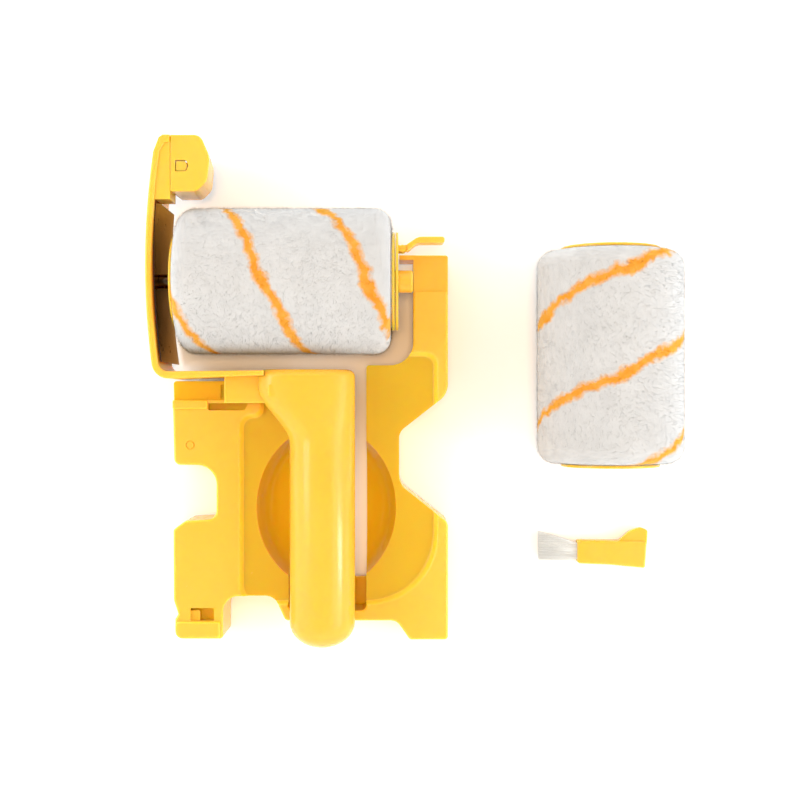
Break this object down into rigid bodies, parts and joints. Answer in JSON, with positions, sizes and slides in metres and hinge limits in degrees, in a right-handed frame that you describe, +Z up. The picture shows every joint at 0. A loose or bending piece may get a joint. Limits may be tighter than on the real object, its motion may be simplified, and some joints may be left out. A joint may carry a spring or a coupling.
{
  "type": "paint edger roller with storage dock",
  "caption": "Hand paint edger: short fluffy roller on a spindle with a steel side shield and round handle, lying in a moulded dock, with a spare sleeve and a small detail brush.",
  "frame": {"origin": "on the table, under the middle of the bounding box of the whole kit", "axes": "+Z up from the table; +Y from the handle's end towards the roller; +X from the shield side towards the spare sleeve"},
  "size_m": [0.2387, 0.2265, 0.0664],
  "materials": {
    "yellow_gloss": "glossy moulded, bright warm yellow",
    "white_pile": "deep fluffy pile with two orange-yellow spiral yarns",
    "sleeve_core": "plain tube under the pile",
    "polished_steel": "mirror polished sheet",
    "zinc_steel": "bright zinc plated",
    "white_acetal": "smooth bearing plastic",
    "white_bristle": "fine straight filaments"
  },
  "bodies": {
    "dock": {"dock_plate": "yellow_gloss"},
    "tool": {"handle_upper_shell": "yellow_gloss", "handle_lower_shell": "yellow_gloss", "handle_screws": "zinc_steel", "neck_screws": "zinc_steel", "guard_frame": "yellow_gloss", "shield_blade": "polished_steel", "shield_rivets": "zinc_steel", "brush_holder": "yellow_gloss", "roller_spindle": "yellow_gloss", "spindle_spacer": "zinc_steel", "spindle_screw": "zinc_steel", "retainer_plate": "yellow_gloss", "lever_pin": "zinc_steel"},
    "lever": {"release_lever": "yellow_gloss"},
    "roller": {"roller_nap": "white_pile", "roller_core": "sleeve_core", "roller_cap_left": "yellow_gloss", "roller_cap_right": "yellow_gloss", "spindle_bush_left": "white_acetal", "spindle_bush_right": "white_acetal"},
    "spare_sleeve": {"spare_nap": "white_pile", "spare_core": "sleeve_core", "spare_caps": "yellow_gloss", "spare_bushes": "white_acetal"},
    "detail_brush": {"brush_handle": "yellow_gloss", "brush_bristles": "white_bristle", "bristle_pin": "zinc_steel"}
  },
  "joints": [
    {"name": "tool_lift", "type": "slide", "parent": "dock", "child": "tool", "axis": [0, 0, 1], "range_m": [0, 0.08]},
    {"name": "roller_spin", "type": "hinge", "parent": "tool", "child": "roller", "pos_m": [-0.05936, 0.05035, 0.0334], "axis": [1, 0, 0], "continuous": true},
    {"name": "lever_swing", "type": "hinge", "parent": "tool", "child": "lever", "pos_m": [-0.00686, 0.06475, 0.0339], "axis": [0, 0, 1], "range_deg": [0, 30]},
    {"name": "spare_lift", "type": "slide", "parent": "dock", "child": "spare_sleeve", "axis": [0, 0, 1], "range_m": [0, 0.08]},
    {"name": "brush_lift", "type": "slide", "parent": "dock", "child": "detail_brush", "axis": [0, 0, 1], "range_m": [0, 0.05]}
  ]
}
